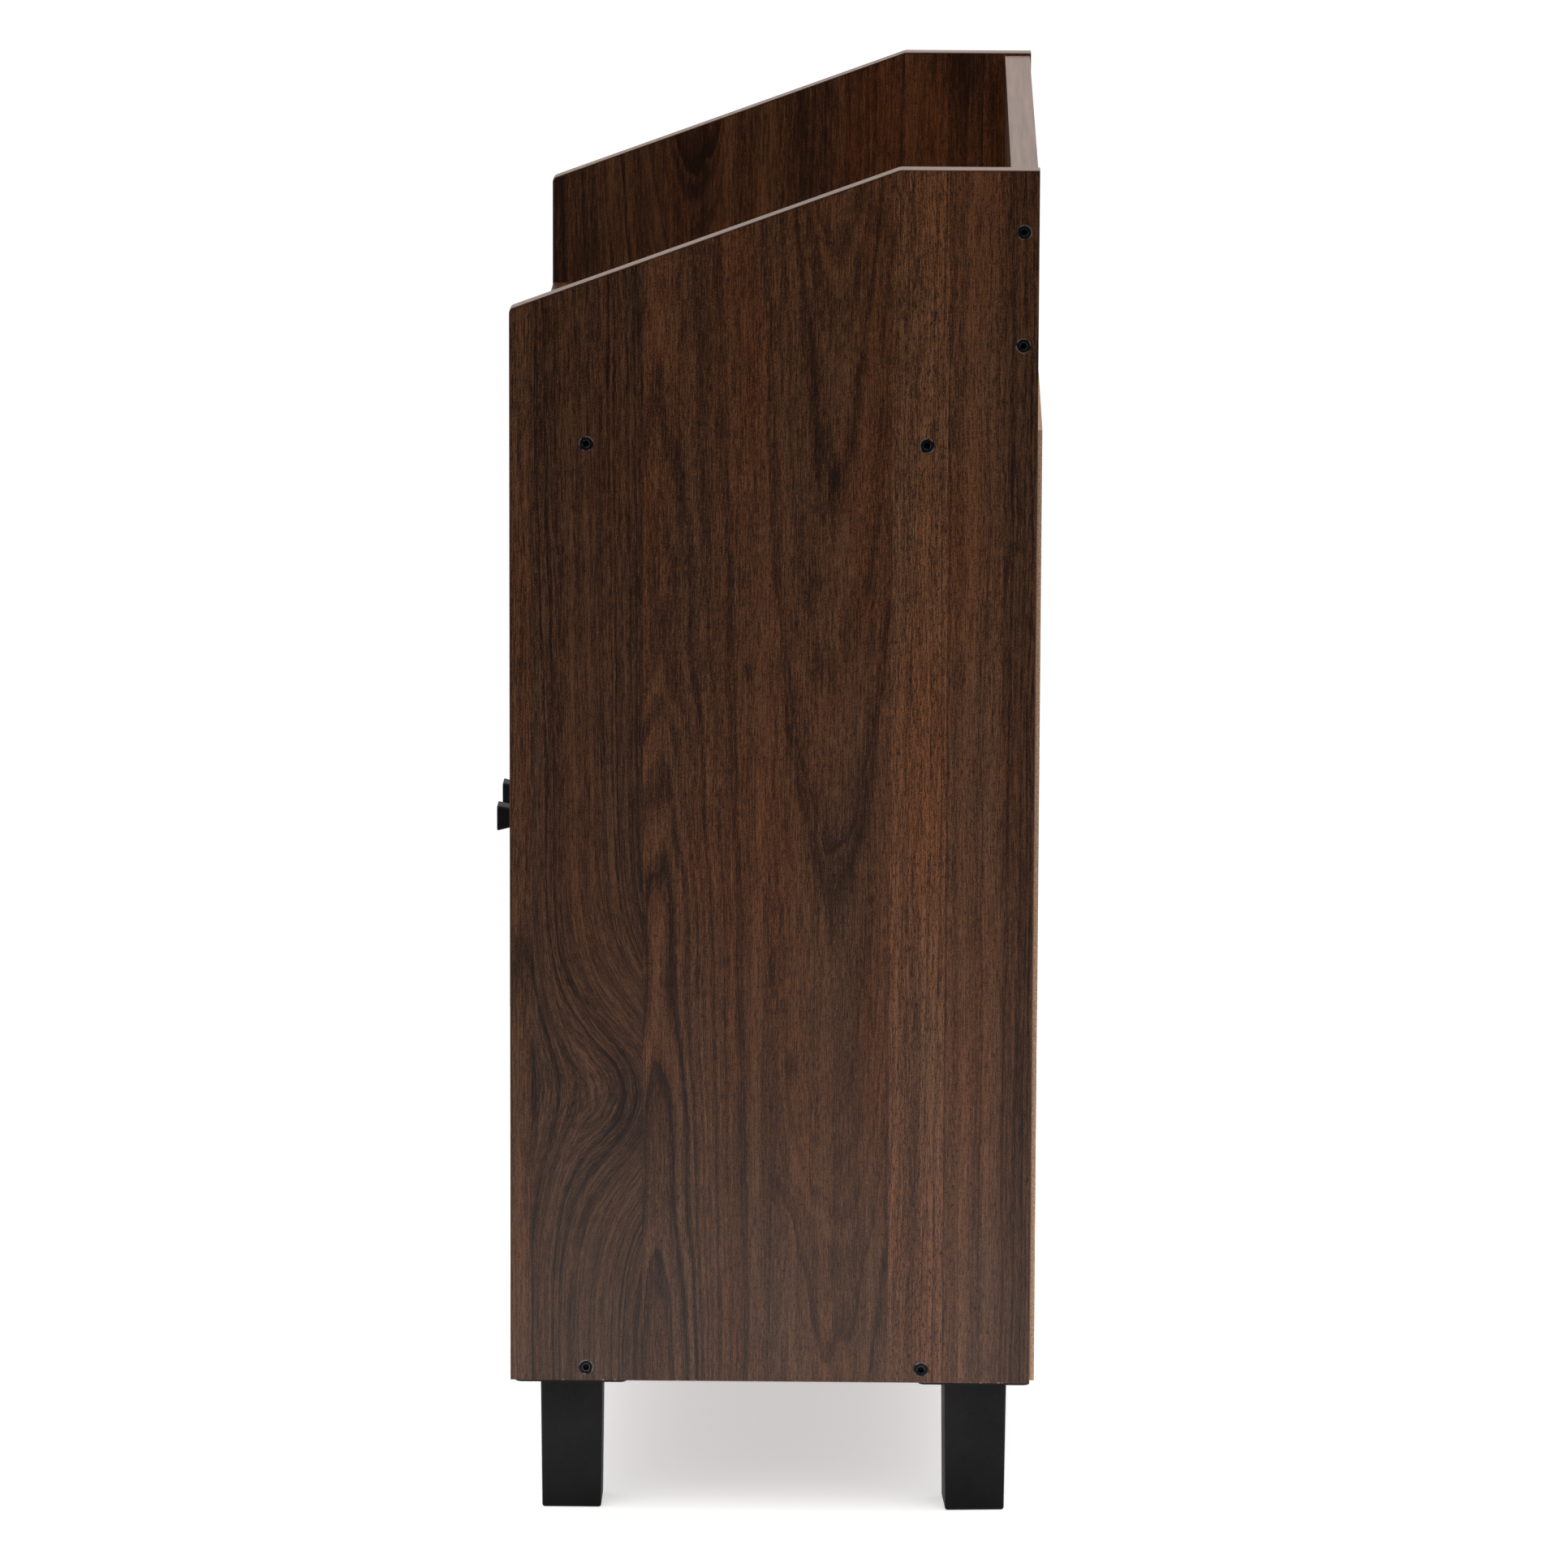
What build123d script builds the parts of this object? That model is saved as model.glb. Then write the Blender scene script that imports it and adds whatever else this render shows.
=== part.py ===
from build123d import *
import math
import os

# Two-door shoe cabinet on four short legs, with a low open gallery around its top.
# Millimetres. X is the width, the doors face -Y and Z is up from the floor.
# The origin is on the floor, under the middle of the whole cabinet.

# ---- driving dimensions -------------------------------------------------------------
cabinet_width = 720.0
side_depth = 350.0
side_height = 822.0           # side panel, from its lower edge to its flat top
front_corner_height = 728.0   # side panel at its front edge
slope_depth = 258.0           # front edge to where the sloped edge meets the flat top
board = 18.0                  # laminated board
top_board_thickness = 25.0
top_board_height = 651.0      # upper face of the top board above the side panels' lower edge
edge_band = 0.6               # glued strip on the visible board edges
front_setback = 0.5           # boards and doors behind the side panels' front edges
front_corner_radius = 4.0
kink_radius = 9.0

hardboard = 3.0               # back panel
hardboard_side_inset = 2.0
hardboard_top_drop = 1.5
hardboard_bottom_rise = 1.8

gallery_top_drop = 2.0        # gallery back below the side panels' flat top
gallery_rear_inset = 1.0

leg_height = 92.0
leg_top_width = 42.0
leg_foot_width = 40.0
leg_corner_radius = 3.0
leg_foot_radius = 1.8
rear_leg_turn = 3.5           # degrees that a rear leg stops short of square on its stud
plate_width = 75.0
plate_thickness = 2.0
plate_corner_radius = 5.0
plate_side_inset = 3.0
plate_front_inset = 3.0

door_side_gap = 2.0
door_middle_gap = 3.0
door_end_gap = 1.6
pivot_from_side = 18.0        # door pivot axis from the side panel's inner face
pivot_from_front = 7.0        # door pivot axis behind the door's front face
pivot_pin_radius = 2.5
pivot_running_gap = 0.05
pivot_pin_in_door = 20.0
pivot_pin_in_bush = 8.0
pivot_pin_chamfer = 0.4
bush_radius = 4.0
bush_depth = 10.0
bush_flange_radius = 6.5
bush_flange = 1.5

knob_spacing = 86.0
knob_height = 326.0           # knob centre above the side panels' lower edge
knob_projection = 23.5
knob_face_width = 22.0
knob_face_height = 18.0
knob_taper = 12.0             # degrees that each side draws in towards the door
knob_corner_radius = 2.5
knob_edge_radius = 0.8

shelf_count = 3
shelf_end_gap = 1.0
shelf_front_inset = 32.0
shelf_rear_gap = 3.0
shelf_pin_radius = 2.5
shelf_pin_pad_radius = 3.5
shelf_pin_depth = 8.0
shelf_pin_reach = 9.0
shelf_pin_inset = 45.0        # pin rows in from the shelf's front and rear edges
shelf_pin_chamfer = 0.8
shelf_pin_flat = 2.5          # flat on a pin's pad above the pin's centre line
system_hole_pitch = 32.0
system_hole_depth = 10.0

catch_offset = 34.0           # catch centre from the cabinet's middle
catch_width = 46.0
catch_height = 14.0
catch_depth = 15.0
catch_gap = 0.1               # pole plates to strike plate, doors closed
pole_thickness = 1.2
magnet_thickness = 5.0
strike_width = 32.0
strike_height = 12.0
strike_thickness = 1.0
strike_corner = 2.0

dowel_radius = 4.0
dowel_length = 30.0
dowel_in_side = 12.0
side_dowel_setbacks = (110.0, 215.0)
gallery_dowel_places = (-240.0, 0.0, 240.0)
gallery_dowel_drop = 14.0     # lower end below the top board's upper face

# ---- worked-out positions -----------------------------------------------------------
carcass_base = leg_height + plate_thickness
overall_depth = knob_projection - front_setback + side_depth + hardboard
side_front = -overall_depth / 2 + knob_projection - front_setback
side_rear = side_front + side_depth
face_y = side_front + front_setback
inner_half_width = cabinet_width / 2 - board
side_centre = cabinet_width / 2 - board / 2

bottom_board_top = carcass_base + board
top_board_top = carcass_base + top_board_height
top_board_under = top_board_top - top_board_thickness
side_top = carcass_base + side_height
gallery_rear = side_rear - gallery_rear_inset
gallery_front = gallery_rear - board
gallery_top = side_top - gallery_top_drop

door_bottom = bottom_board_top + door_end_gap
door_top = top_board_under - door_end_gap
door_rear = face_y + board
pivot_x = inner_half_width - pivot_from_side
pivot_y = face_y + pivot_from_front

plate_centre_x = cabinet_width / 2 - plate_side_inset - plate_width / 2
plate_front_y = side_front + plate_front_inset + plate_width / 2
plate_rear_y = side_rear - plate_width / 2

SIDES = {"left": -1, "right": 1}
DOWN = Rot(180, 0, 0)
parts = {}


# ---- proportions of small hardware --------------------------------------------------
screw_head_rim = 0.6          # straight rim of a countersunk head
screw_tip_slenderness = 0.9   # length of a screw's point, in shank radii
screw_tip_radius = 0.4
dome_edge_share = 0.55        # rounding of a pan head, as a share of its height
slot_length_share = 1.1       # cross slot, as shares of the pan head's radius
slot_width_share = 0.22
slot_height_share = 0.9

# ---- small helpers ------------------------------------------------------------------
def block(x0, x1, y0, y1, z0, z1):
    """Box between two corners."""
    centre = Pos((x0 + x1) / 2, (y0 + y1) / 2, (z0 + z1) / 2)
    return centre * Box(abs(x1 - x0), abs(y1 - y0), abs(z1 - z0))


def rod(radius, length):
    """Round bar that starts at the origin and runs along +Z."""
    return Pos(0, 0, length / 2) * Cylinder(radius, length)


def group(solids):
    """Several separate solids kept together in one node."""
    return Compound(children=list(solids))


def cut_all(body, tools):
    """The body with every tool cut out of it."""
    for tool in tools:
        body = body - tool
    return body


def countersunk_screw(length, shank, head, head_height, socket=0.0, socket_depth=0.0):
    """Screw with its head's flat face at the origin and its shank along -Z."""
    tip = shank * screw_tip_slenderness
    profile = Polyline(
        (0, 0), (head, 0), (head, -screw_head_rim), (shank, -head_height),
        (shank, -length + tip), (screw_tip_radius, -length), (0, -length), (0, 0),
    )
    screw = revolve(Plane.XZ * make_face(profile), Axis.Z)
    if socket:
        recess = extrude(RegularPolygon(socket, 6), amount=-socket_depth)
        screw = screw - recess
    return screw


def pan_screw(length, shank, head, head_height):
    """Screw with a domed head above the origin and its shank along -Z."""
    dome = Pos(0, 0, head_height / 2) * Cylinder(head, head_height)
    dome = fillet(dome.edges().group_by(Axis.Z)[-1], head_height * dome_edge_share)
    slot_length = head * slot_length_share
    slot_width = head * slot_width_share
    slot_height = head_height * slot_height_share
    slot_long = Box(slot_length, slot_width, slot_height)
    slot_wide = Box(slot_width, slot_length, slot_height)
    cross = Pos(0, 0, head_height) * (slot_long + slot_wide)
    return (dome - cross) + DOWN * rod(shank, length)


# ---- fasteners placed first, so that the boards can be drilled for them -------------
confirmat_length = 50.0
confirmat_shank = 3.0
confirmat_head = 5.0
confirmat_head_height = 3.4
hex_socket_radius = 2.3       # across corners
hex_socket_depth = 3.0
top_screw_drop = top_board_thickness / 2
bottom_screw_rise = board / 2
side_screw_setbacks = (51.0, 276.8)
gallery_screw_y = (gallery_front + gallery_rear) / 2
gallery_screw_drops = (41.0, 116.5)

side_screw_spots = [
    (side_front + setback, z)
    for setback in side_screw_setbacks
    for z in (top_board_top - top_screw_drop, carcass_base + bottom_screw_rise)
]
side_screw_spots += [(gallery_screw_y, side_top - drop) for drop in gallery_screw_drops]


def side_screws(sign, socket):
    """Six long screws through one side panel, into the board ends."""
    screws = []
    for y, z in side_screw_spots:
        screw = countersunk_screw(
            confirmat_length, confirmat_shank, confirmat_head, confirmat_head_height,
            hex_socket_radius if socket else 0.0, hex_socket_depth,
        )
        screws.append(Pos(sign * cabinet_width / 2, y, z) * Rot(0, sign * 90, 0) * screw)
    return screws


dowel_rows = [
    (side_front + setback, z)
    for setback in side_dowel_setbacks
    for z in (top_board_top - top_screw_drop, carcass_base + bottom_screw_rise)
]


def side_dowels(sign):
    """Wooden dowels across the joints between one side panel and the boards."""
    start = sign * (inner_half_width + dowel_in_side)
    return [Pos(start, y, z) * Rot(0, -sign * 90, 0) * rod(dowel_radius, dowel_length)
            for y, z in dowel_rows]


gallery_dowels = [
    Pos(x, gallery_screw_y, top_board_top - gallery_dowel_drop) * rod(dowel_radius, dowel_length)
    for x in gallery_dowel_places
]

plate_screw_length = 16.0
plate_screw_offset = 29.0
plate_screw_shank = 1.75
plate_screw_head = 3.4
plate_screw_head_height = 1.6
stud_radius = 4.0
stud_in_leg = 26.0
stud_in_board = 6.0
stud_hole_radius = 5.0
stud_hole_depth = 8.0


def leg_spot(side, row):
    """Centre of one leg in X and Y."""
    y = plate_front_y if row == "front" else plate_rear_y
    return SIDES[side] * plate_centre_x, y


def plate_screws(side, row):
    """Four wood screws up through one mounting plate."""
    x, y = leg_spot(side, row)
    screw = DOWN * countersunk_screw(
        plate_screw_length, plate_screw_shank, plate_screw_head, plate_screw_head_height,
    )
    corners = GridLocations(2 * plate_screw_offset, 2 * plate_screw_offset, 2, 2)
    return [Pos(x, y, leg_height) * corner * screw for corner in corners]


LEG_KEYS = [(row, side) for row in ("front", "rear") for side in SIDES]
all_plate_screws = [s for row, side in LEG_KEYS for s in plate_screws(side, row)]
stud_clearances = [
    Pos(*leg_spot(side, row), carcass_base) * rod(stud_hole_radius, stud_hole_depth)
    for row, side in LEG_KEYS
]

nail_length = 18.0
nail_shank = 0.75
nail_head = 1.8
nail_head_height = 0.8
nail_edge_inset = 9.0
nail_rows = 6                 # up each side
nail_row_inset = 49.0         # first and last nail of a side row, from the panel's ends
nail_columns = 6              # along the top and the bottom
nail_column_reach = 280.0     # outermost nail of a column row, from the middle


def back_nail(x, z):
    """Flush panel nail driven in from behind."""
    nail = rod(nail_shank, nail_length) + rod(nail_head, nail_head_height)
    return Pos(x, side_rear + hardboard, z) * Rot(90, 0, 0) * nail


def back_nails():
    """Nails round the back panel's four edges."""
    low = carcass_base + nail_edge_inset
    high = top_board_top - top_board_thickness / 2
    row_start = carcass_base + nail_row_inset
    row_end = top_board_top - nail_row_inset
    nails = []
    for i in range(nail_rows):
        z = row_start + (row_end - row_start) * i / (nail_rows - 1)
        nails += [back_nail(sign * side_centre, z) for sign in SIDES.values()]
    for i in range(nail_columns):
        x = nail_column_reach * (2 * i / (nail_columns - 1) - 1)
        nails += [back_nail(x, low), back_nail(x, high)]
    return nails


nails = back_nails()

# ---- shelves and their pins ---------------------------------------------------------
clear_height = top_board_under - bottom_board_top
tier_height = (clear_height - shelf_count * board) / (shelf_count + 1)
shelf_front = side_front + shelf_front_inset
shelf_rear = side_rear - shelf_rear_gap
pin_rows_y = (shelf_front + shelf_pin_inset, shelf_rear - shelf_pin_inset)


def shelf_bottom(level):
    """Lower face of a shelf, counted from the bottom."""
    return bottom_board_top + (level + 1) * tier_height + level * board


def shelf_pin(sign, y, z):
    """Round peg in the side panel with a flat-topped pad that carries the shelf."""
    peg = Pos(0, 0, -shelf_pin_depth) * rod(shelf_pin_radius, shelf_pin_depth)
    pad = rod(shelf_pin_pad_radius, shelf_pin_reach)
    pad = chamfer(pad.edges().group_by(Axis.Z)[-1], shelf_pin_chamfer)
    above = 2 * shelf_pin_pad_radius
    pad = pad - block(shelf_pin_flat, above, -above, above, -1, shelf_pin_reach + 1)
    pin = peg + pad
    turned = Rot(0, -90, 0) * pin
    if sign < 0:
        turned = Rot(0, 0, 180) * turned
    return Pos(sign * inner_half_width, y, z) * turned


def system_holes(sign):
    """Three heights of pin holes for each shelf, in two rows."""
    holes = []
    for level in range(shelf_count):
        middle = shelf_bottom(level) - shelf_pin_flat
        for step in (-1, 0, 1):
            for y in pin_rows_y:
                place = Pos(sign * inner_half_width, y, middle + step * system_hole_pitch)
                depth = shelf_pin_depth if step == 0 else system_hole_depth
                holes.append(place * Rot(0, sign * 90, 0) * rod(shelf_pin_radius, depth))
    return holes


# ---- side panels --------------------------------------------------------------------
near = 0.01                   # two places closer than this are the same


def side_outline(inset):
    """Closed outline in the YZ plane, drawn in from every edge but the lower one."""
    rise = side_height - front_corner_height
    slope = math.atan2(rise, slope_depth)
    drop = inset / math.cos(slope)
    corner_z = front_corner_height + inset * math.tan(slope) - drop
    kink_y = (rise - inset + drop) / math.tan(slope)
    line = Polyline(
        (inset, 0), (inset, corner_z), (kink_y, side_height - inset),
        (side_depth - inset, side_height - inset), (side_depth - inset, 0), close=True,
    )
    face = make_face(line)
    front = [v for v in face.vertices() if abs(v.X - inset) < near and v.Y > near]
    face = fillet(front, front_corner_radius - inset)
    kink = [v for v in face.vertices() if abs(v.X - kink_y) < near]
    return fillet(kink, kink_radius - inset)


def side_slab(sign, inset):
    """Side panel's outline at full board thickness."""
    plane = Plane(origin=(0, 0, 0), x_dir=(0, 1, 0), z_dir=(1, 0, 0))
    slab = extrude(plane * side_outline(inset), amount=board)
    start = inner_half_width if sign > 0 else -cabinet_width / 2
    return Pos(start, side_front, carcass_base) * slab


for side, sign in SIDES.items():
    whole = side_slab(sign, 0)
    core = side_slab(sign, edge_band)
    fixings = side_screws(sign, False) + nails
    near_plate_screws = [s for row in ("front", "rear") for s in plate_screws(side, row)]
    drilled = cut_all(core, fixings + side_dowels(sign) + near_plate_screws + system_holes(sign))
    parts[f"side_panel_{side}"] = drilled
    parts[f"edge_band_side_{side}"] = cut_all(whole - core, nails)
    parts[f"side_screws_{side}"] = group(side_screws(sign, True))

every_side_screw = side_screws(-1, False) + side_screws(1, False)
every_side_dowel = side_dowels(-1) + side_dowels(1)
parts["side_dowels"] = group(every_side_dowel)
parts["gallery_dowels"] = group(gallery_dowels)


# ---- pivot bushes, which the top and bottom boards are drilled for ------------------
def pivot_bush(sign, top):
    """Flanged plastic bush, its flange in the gap between the board and the door."""
    outer = rod(bush_radius, bush_depth)
    outer = outer + DOWN * rod(bush_flange_radius, bush_flange)
    bore = Pos(0, 0, -bush_flange) * rod(pivot_pin_radius + pivot_running_gap,
                                         bush_depth + bush_flange)
    bush = outer - bore
    if top:
        return Pos(sign * pivot_x, pivot_y, top_board_under) * bush
    return Pos(sign * pivot_x, pivot_y, bottom_board_top) * DOWN * bush


def bush_hole(sign, top):
    """Blind hole that a bush is pressed into."""
    hole = rod(bush_radius, bush_depth)
    if top:
        return Pos(sign * pivot_x, pivot_y, top_board_under) * hole
    return Pos(sign * pivot_x, pivot_y, bottom_board_top) * DOWN * hole


# ---- catches under the top board ----------------------------------------------------
strike_front = door_rear
strike_rear = strike_front + strike_thickness
pole_front = strike_rear + catch_gap
pole_reach = 1.5              # pole plates in front of the catch's case
catch_front = pole_front + pole_reach
catch_rear = catch_front + catch_depth
catch_bottom = top_board_under - catch_height
pole_height = 8.0
pole_rise = 1.5               # pole plates above the case's underside
pole_middle = catch_bottom + pole_rise + pole_height / 2
pole_length = 12.0
pole_width = 18.0
catch_screw_offset = 17.0
catch_screw_length = 14.0
catch_screw_shank = 1.6
catch_screw_head = 3.2
catch_screw_head_height = 1.8
case_side_wall = 3.0          # case beside the pole plates
case_corner = 1.5
ear_front_inset = 2.0
ear_rear_inset = 1.0
ear_thickness = 4.0
ear_corner = 3.0
strike_screw_length = 10.0
strike_screw_shank = 1.5
strike_screw_head = 2.6
strike_screw_head_height = 0.95


def pole_pair(centre):
    """Two steel pole plates that stand on edge, one each side of the magnet."""
    half = magnet_thickness / 2
    y0 = pole_front
    y1 = pole_front + pole_length
    lower = block(centre - pole_width / 2, centre + pole_width / 2, y0, y1,
                  pole_middle - half - pole_thickness, pole_middle - half)
    upper = block(centre - pole_width / 2, centre + pole_width / 2, y0, y1,
                  pole_middle + half, pole_middle + half + pole_thickness)
    return [lower, upper]


def magnet_block(centre):
    """Ferrite magnet between the pole plates."""
    half = magnet_thickness / 2
    return block(centre - pole_width / 2, centre + pole_width / 2, pole_front + pole_reach,
                 pole_front + pole_length, pole_middle - half, pole_middle + half)


def catch_case(centre):
    """Moulded case with a mouth for the magnet and ears for its two screws."""
    half = pole_width / 2 + case_side_wall
    nose = block(centre - half, centre + half, catch_front, catch_rear,
                 catch_bottom, top_board_under)
    nose = fillet(nose.edges().filter_by(Axis.Z), case_corner)
    ears = block(centre - catch_width / 2, centre + catch_width / 2,
                 catch_front + ear_front_inset, catch_rear - ear_rear_inset,
                 top_board_under - ear_thickness, top_board_under)
    ears = fillet(ears.edges().filter_by(Axis.Z), ear_corner)
    return nose + ears


def catch_screws(centre):
    """Two screws up through the ears into the top board."""
    y = (catch_front + ear_front_inset + catch_rear - ear_rear_inset) / 2
    screw = DOWN * pan_screw(catch_screw_length, catch_screw_shank, catch_screw_head,
                             catch_screw_head_height)
    return [Pos(centre + dx, y, top_board_under - ear_thickness) * screw
            for dx in (-catch_screw_offset, catch_screw_offset)]


def strike_screw(centre):
    """Short screw that holds a strike plate to its door."""
    screw = countersunk_screw(strike_screw_length, strike_screw_shank, strike_screw_head,
                              strike_screw_head_height)
    return Pos(centre, strike_rear, pole_middle) * Rot(-90, 0, 0) * screw


all_catch_screws = []
for side, sign in SIDES.items():
    centre = sign * catch_offset
    poles = pole_pair(centre)
    magnet = magnet_block(centre)
    screws = catch_screws(centre)
    all_catch_screws += screws
    case = cut_all(catch_case(centre), poles + [magnet] + screws)
    parts[f"catch_case_{side}"] = case
    parts[f"catch_magnet_{side}"] = magnet
    parts[f"catch_pole_plates_{side}"] = group(poles)
    parts[f"pivot_bushes_{side}"] = group([pivot_bush(sign, False), pivot_bush(sign, True)])
parts["catch_screws"] = group(all_catch_screws)


# ---- boards between the sides -------------------------------------------------------
def front_banded(name, x0, x1, y0, y1, z0, z1, tools):
    """Board with a glued strip on its front edge, both drilled by the tools."""
    core = block(x0, x1, y0 + edge_band, y1, z0, z1)
    strip = block(x0, x1, y0, y0 + edge_band, z0, z1)
    parts[name] = cut_all(core, tools)
    parts[f"edge_band_{name}"] = strip


bush_holes_top = [bush_hole(sign, True) for sign in SIDES.values()]
bush_holes_bottom = [bush_hole(sign, False) for sign in SIDES.values()]
common_tools = every_side_screw + every_side_dowel + nails

front_banded("top_board", -inner_half_width, inner_half_width, face_y, side_rear,
             top_board_under, top_board_top,
             common_tools + gallery_dowels + bush_holes_top + all_catch_screws)
front_banded("bottom_board", -inner_half_width, inner_half_width, face_y, side_rear,
             carcass_base, bottom_board_top,
             common_tools + bush_holes_bottom + all_plate_screws + stud_clearances)

gallery_core = block(-inner_half_width, inner_half_width, gallery_front, gallery_rear,
                     top_board_top, gallery_top - edge_band)
parts["gallery_back"] = cut_all(gallery_core, every_side_screw + gallery_dowels)
parts["edge_band_gallery_back"] = block(-inner_half_width, inner_half_width, gallery_front,
                                        gallery_rear, gallery_top - edge_band, gallery_top)

hardboard_half = cabinet_width / 2 - hardboard_side_inset
back_sheet = block(-hardboard_half, hardboard_half, side_rear, side_rear + hardboard,
                   carcass_base + hardboard_bottom_rise, top_board_top - hardboard_top_drop)
parts["back_panel"] = cut_all(back_sheet, nails)
parts["back_panel_nails"] = group(nails)

LEVELS = ("lower", "middle", "upper")
shelf_half = inner_half_width - shelf_end_gap
for level, word in enumerate(LEVELS):
    z = shelf_bottom(level)
    front_banded(f"shelf_{word}", -shelf_half, shelf_half, shelf_front, shelf_rear,
                 z, z + board, [])
    pins = [shelf_pin(sign, y, z - shelf_pin_flat)
            for sign in SIDES.values() for y in pin_rows_y]
    parts[f"shelf_pins_{word}"] = group(pins)


# ---- doors --------------------------------------------------------------------------
def knob_body(x, z):
    """Block handle, wide at its face and drawn in towards the door."""
    face = Rectangle(knob_face_width, knob_face_height)
    body = extrude(face, amount=knob_projection, taper=knob_taper)
    slanted = [e for e in body.edges()
               if abs(e.start_point().Z - e.end_point().Z) > knob_projection / 2]
    body = fillet(slanted, knob_corner_radius)
    body = fillet(body.edges().group_by(Axis.Z)[0], knob_edge_radius)
    return Pos(x, face_y - knob_projection, z) * Rot(-90, 0, 0) * body


knob_screw_length = 28.0
knob_screw_shank = 2.0
knob_screw_head = 4.0
knob_screw_head_height = 2.4


def knob_screw(x, z):
    """Machine screw from the door's inner face into the knob."""
    screw = pan_screw(knob_screw_length, knob_screw_shank, knob_screw_head,
                      knob_screw_head_height)
    return Pos(x, door_rear, z) * Rot(-90, 0, 0) * screw


def pivot_pins(sign):
    """Steel pins in the door's upper and lower edges."""
    length = pivot_pin_in_door + door_end_gap + pivot_pin_in_bush
    lower = Pos(sign * pivot_x, pivot_y, door_bottom - door_end_gap - pivot_pin_in_bush)
    upper = Pos(sign * pivot_x, pivot_y, door_top - pivot_pin_in_door)
    pin = rod(pivot_pin_radius, length)
    pin = chamfer(pin.edges().filter_by(GeomType.CIRCLE), pivot_pin_chamfer)
    return [lower * pin, upper * pin]


for side, sign in SIDES.items():
    outer_x = sign * (inner_half_width - door_side_gap)
    inner_x = sign * door_middle_gap / 2
    x0, x1 = min(outer_x, inner_x), max(outer_x, inner_x)
    knob_x = sign * knob_spacing / 2
    knob_z = carcass_base + knob_height
    whole = block(x0, x1, face_y, door_rear, door_bottom, door_top)
    core = block(x0 + edge_band, x1 - edge_band, face_y, door_rear,
                 door_bottom + edge_band, door_top - edge_band)
    knob = knob_body(knob_x, knob_z)
    screw = knob_screw(knob_x, knob_z)
    pins = pivot_pins(sign)
    strike_x = sign * catch_offset
    strike_fixing = strike_screw(strike_x)
    strike = block(strike_x - strike_width / 2, strike_x + strike_width / 2,
                   strike_front, strike_rear,
                   pole_middle - strike_height / 2, pole_middle + strike_height / 2)
    strike = fillet(strike.edges().filter_by(Axis.Y), strike_corner)
    parts[f"door_{side}"] = cut_all(core, pins + [screw, strike_fixing])
    parts[f"edge_band_door_{side}"] = cut_all(whole - core, pins)
    parts[f"knob_{side}"] = knob - screw
    parts[f"knob_screw_{side}"] = screw
    parts[f"pivot_pins_{side}"] = group(pins)
    parts[f"strike_plate_{side}"] = strike - strike_fixing
    parts[f"strike_screw_{side}"] = strike_fixing


# ---- legs ---------------------------------------------------------------------------
def leg_body(x, y, turn):
    """Square leg that narrows a little towards a rounded foot."""
    draw_in = math.degrees(math.atan2((leg_top_width - leg_foot_width) / 2, leg_height))
    top = RectangleRounded(leg_top_width, leg_top_width, leg_corner_radius)
    leg = extrude(top, amount=leg_height, taper=draw_in)
    leg = fillet(leg.edges().group_by(Axis.Z)[-1], leg_foot_radius)
    return Pos(x, y, leg_height) * Rot(0, 0, turn) * DOWN * leg


studs = []
for row, side in LEG_KEYS:
    x, y = leg_spot(side, row)
    stud = Pos(x, y, leg_height - stud_in_leg) * rod(
        stud_radius, stud_in_leg + plate_thickness + stud_in_board)
    plate = extrude(RectangleRounded(plate_width, plate_width, plate_corner_radius),
                    amount=plate_thickness)
    plate = Pos(x, y, leg_height) * plate
    turn = SIDES[side] * rear_leg_turn if row == "rear" else 0.0
    parts[f"leg_{row}_{side}"] = leg_body(x, y, turn) - stud
    parts[f"leg_plate_{row}_{side}"] = cut_all(plate, [stud] + plate_screws(side, row))
    studs.append(stud)
parts["leg_studs"] = group(studs)
parts["leg_plate_screws"] = group(all_plate_screws)


# ---- output -------------------------------------------------------------------------
os.makedirs("parts", exist_ok=True)
for name, shape in parts.items():
    export_step(shape, f"parts/{name}.step")
print(len(parts), "nodes")
print("pivot axes at x", pivot_x, "y", pivot_y)
print("overall", cabinet_width, overall_depth, side_top)
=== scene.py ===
import math
import random

import bpy
from mathutils import Matrix, Vector


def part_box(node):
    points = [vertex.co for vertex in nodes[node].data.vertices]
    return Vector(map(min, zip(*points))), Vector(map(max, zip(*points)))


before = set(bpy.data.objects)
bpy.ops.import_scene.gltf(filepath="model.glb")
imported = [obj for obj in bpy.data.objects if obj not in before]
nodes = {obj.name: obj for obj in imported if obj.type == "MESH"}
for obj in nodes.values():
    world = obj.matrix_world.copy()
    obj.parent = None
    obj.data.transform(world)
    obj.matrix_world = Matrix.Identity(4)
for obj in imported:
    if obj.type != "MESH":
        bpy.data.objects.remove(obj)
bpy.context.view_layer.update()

# Looks of a two-door walnut shoe cabinet. The shapes are the frame's own nodes; this file
# gives them their materials, and adds the floor, the light and the camera.
# Lengths are metres, except in the materials, which work in millimetres.

MM = 0.001
X_AXIS = (1.0, 0.0, 0.0)
Y_AXIS = (0.0, 1.0, 0.0)
Z_AXIS = (0.0, 0.0, 1.0)
SIDES = ("left", "right")
CUT_EDGE = 0.6                # a cut edge's normal has less than this along its board's face
FAR = 1000.0                  # further than anything on the cabinet, in millimetres


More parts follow.
